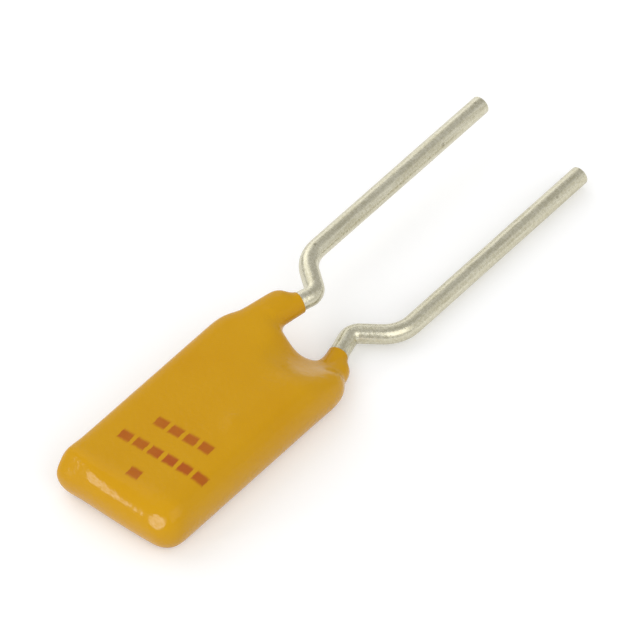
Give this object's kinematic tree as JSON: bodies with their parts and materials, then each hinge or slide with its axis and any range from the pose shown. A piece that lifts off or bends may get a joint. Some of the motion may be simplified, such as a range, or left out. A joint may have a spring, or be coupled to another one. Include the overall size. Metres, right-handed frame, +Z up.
{
  "type": "resettable fuse",
  "caption": "Flat epoxy-dipped polymer resettable fuse with radial joggled wire leads, for protecting a circuit from overcurrent.",
  "frame": {"origin": "centre of the coat's flat underside, on which the part lies", "axes": "+Y along the leads towards their tips, +X towards the back lead, +Z up through the body's thickness"},
  "size_m": [0.006, 0.0252, 0.0024],
  "materials": {
    "epoxy": "dipped epoxy, satin gloss",
    "polymer": "carbon-filled polymer",
    "foil": "rolled nickel foil",
    "solder": "tin solder",
    "tinned_wire": "hot-tinned copper wire"
  },
  "bodies": {
    "root": {"epoxy_coat": "epoxy", "polymer_chip": "polymer", "front_foil": "foil", "back_foil": "foil", "front_solder": "solder", "back_solder": "solder", "front_lead": "tinned_wire", "back_lead": "tinned_wire"}
  },
  "joints": []
}
